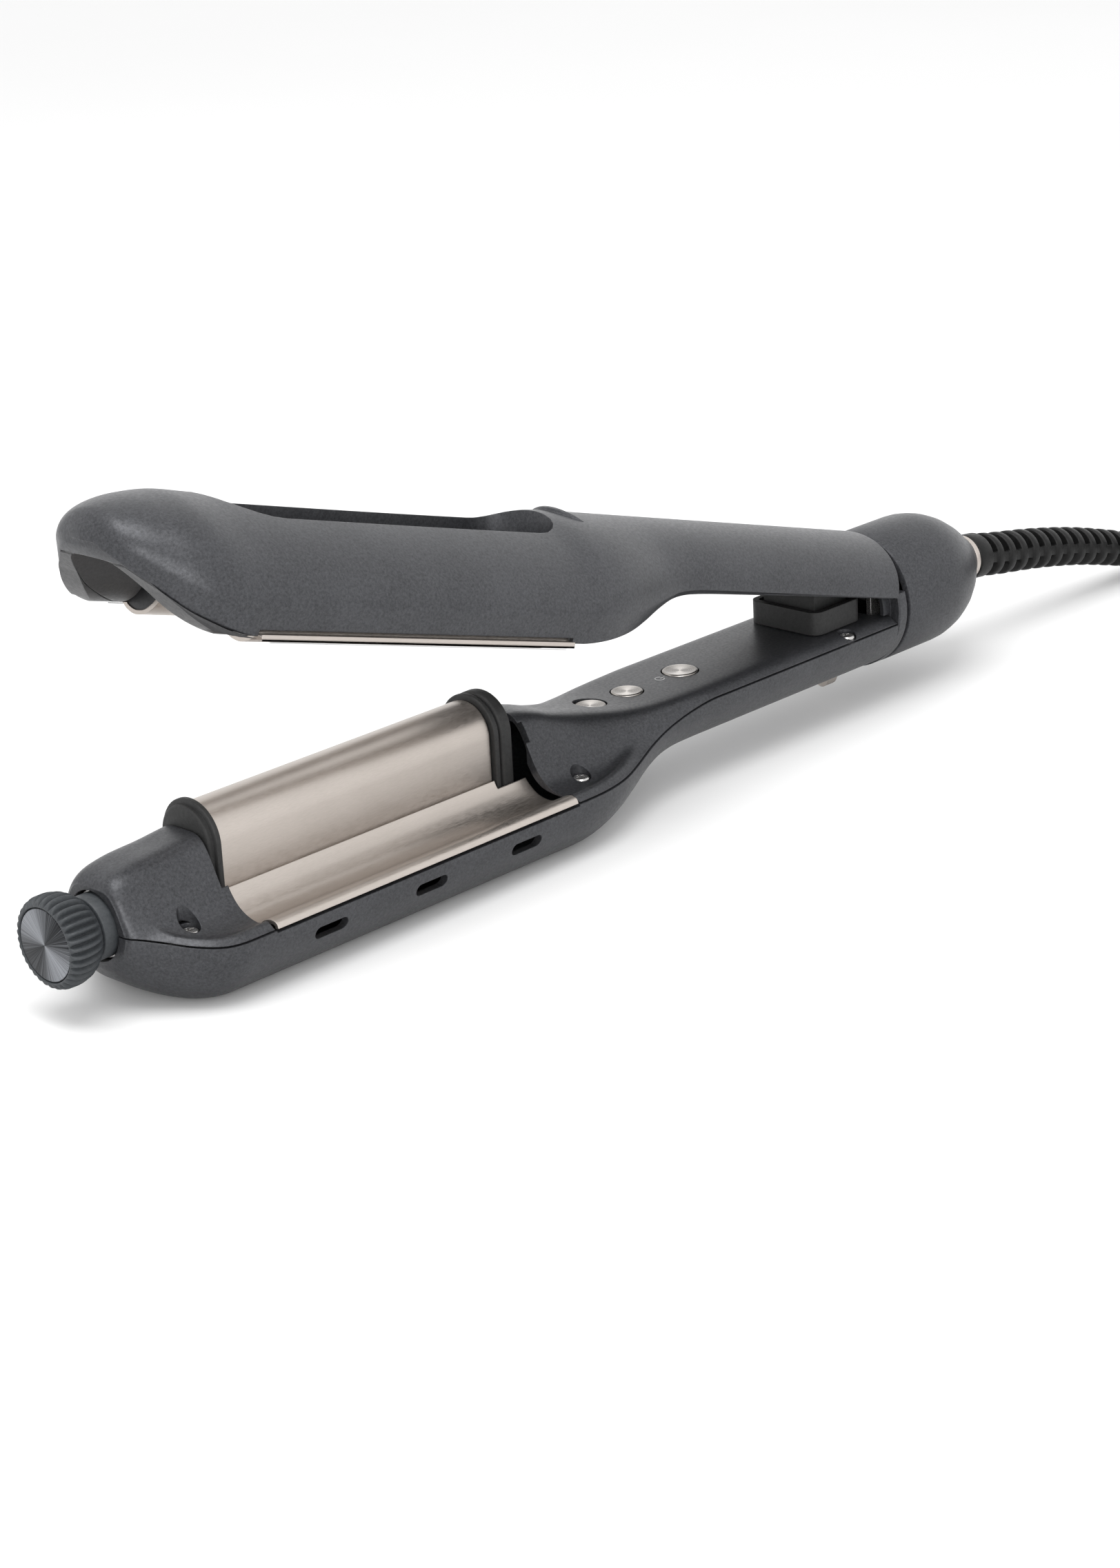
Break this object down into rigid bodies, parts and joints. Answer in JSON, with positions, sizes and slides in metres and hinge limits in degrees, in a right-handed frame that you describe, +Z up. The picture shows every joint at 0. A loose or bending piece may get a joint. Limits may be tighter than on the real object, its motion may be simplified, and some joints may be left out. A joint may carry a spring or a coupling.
{
  "type": "hair crimper",
  "caption": "Two-armed heated hair crimper with curved wave plates, a height-adjustable centre barrel, turn knob, deck buttons and a coiled mains lead.",
  "frame": {"origin": "middle of the object's box, without its cord, at the level of the flat underside it rests on", "axes": "+X from the knob at the tip to the cord, +Z up, -Y the near side"},
  "size_m": [0.5196, 0.0932, 0.1116],
  "materials": {
    "graphite": "satin metallic graphite paint over moulded plastic",
    "champagne": "satin champagne ceramic coating on aluminium",
    "rubber": "dark matte heat-proof rubber",
    "disc": "dark disc with a radial sunburst finish",
    "spun_steel": "spun concentric finish",
    "steel": "bright plated steel",
    "cable": "black flexible cable jacket",
    "nylon": "black moulded nylon",
    "board": "green circuit board",
    "mica": "heater strip"
  },
  "bodies": {
    "lower_arm": {"trough_plate_near": "champagne", "trough_heater_near": "mica", "trough_plate_far": "champagne", "trough_heater_far": "mica", "lower_shell": "graphite", "lower_tip_cover": "graphite", "lower_deck_cover": "graphite", "tip_screw_near": "steel", "tip_screw_far": "steel", "middle_screw_near": "steel", "middle_screw_far": "steel", "hinge_screw_near": "steel", "hinge_screw_far": "steel", "knob_bush": "steel", "switch_down": "nylon", "switch_up": "nylon", "switch_power": "nylon", "circuit_board": "board", "hinge_shroud": "rubber", "hinge_collar": "graphite", "hinge_pin": "steel", "hinge_bracket": "steel", "torsion_spring": "steel", "tail_cap": "graphite", "cable_ring": "champagne", "strain_relief": "cable", "cord": "cable", "cord_coil": "cable", "plug": "cable", "plug_pin_near": "steel", "plug_pin_far": "steel"},
    "upper_arm": {"upper_shell": "graphite", "upper_liner": "graphite", "upper_plate_near": "champagne", "upper_heater_near": "mica", "upper_plate_far": "champagne", "upper_heater_far": "mica", "upper_base": "graphite", "upper_hinge_boss": "rubber", "base_screw_front": "steel", "base_screw_rear": "steel"},
    "barrel_lift": {"barrel": "champagne", "barrel_flange_tip": "rubber", "barrel_flange_rear": "rubber", "barrel_carrier": "nylon", "barrel_heater": "mica"},
    "lift_slide": {"lift_slider": "nylon"},
    "knob_turn": {"knob": "rubber", "knob_shaft": "rubber", "knob_disc": "disc"},
    "key_down": {"button_down": "spun_steel"},
    "key_up": {"button_up": "spun_steel"},
    "key_power": {"button_power": "spun_steel"},
    "travel_lock": {"lock_slider": "champagne"}
  },
  "joints": [
    {"name": "arm_hinge", "type": "hinge", "parent": "lower_arm", "child": "upper_arm", "pos_m": [0.0682, 0, 0.0322], "axis": [0, -1, 0], "range_deg": [0, 15.8], "stiffness_Nm_per_rad": 1, "springref_deg": -40.11},
    {"name": "knob_dial", "type": "hinge", "parent": "lower_arm", "child": "knob_turn", "pos_m": [-0.2065, 0, 0.0194], "axis": [1, 0, 0], "range_deg": [0, 270]},
    {"name": "lift_travel", "type": "slide", "parent": "lower_arm", "child": "lift_slide", "axis": [1, 0, 0], "range_m": [0, 0.008]},
    {"name": "barrel_height", "type": "slide", "parent": "lower_arm", "child": "barrel_lift", "axis": [0, 0, -1], "range_m": [0, 0.008]},
    {"name": "press_down", "type": "slide", "parent": "lower_arm", "child": "key_down", "axis": [0, 0, -1], "range_m": [0, 0.0006], "stiffness_N_per_m": 800},
    {"name": "press_up", "type": "slide", "parent": "lower_arm", "child": "key_up", "axis": [0, 0, -1], "range_m": [0, 0.0006], "stiffness_N_per_m": 800},
    {"name": "press_power", "type": "slide", "parent": "lower_arm", "child": "key_power", "axis": [0, 0, -1], "range_m": [0, 0.0006], "stiffness_N_per_m": 800},
    {"name": "lock_travel", "type": "slide", "parent": "lower_arm", "child": "travel_lock", "axis": [1, 0, 0], "range_m": [0, 0.004]}
  ],
  "couplings": [
    {"joint": "lift_travel", "follows": "barrel_height", "ratio": 1},
    {"joint": "knob_dial", "follows": "barrel_height", "rad_per_m": 589}
  ]
}
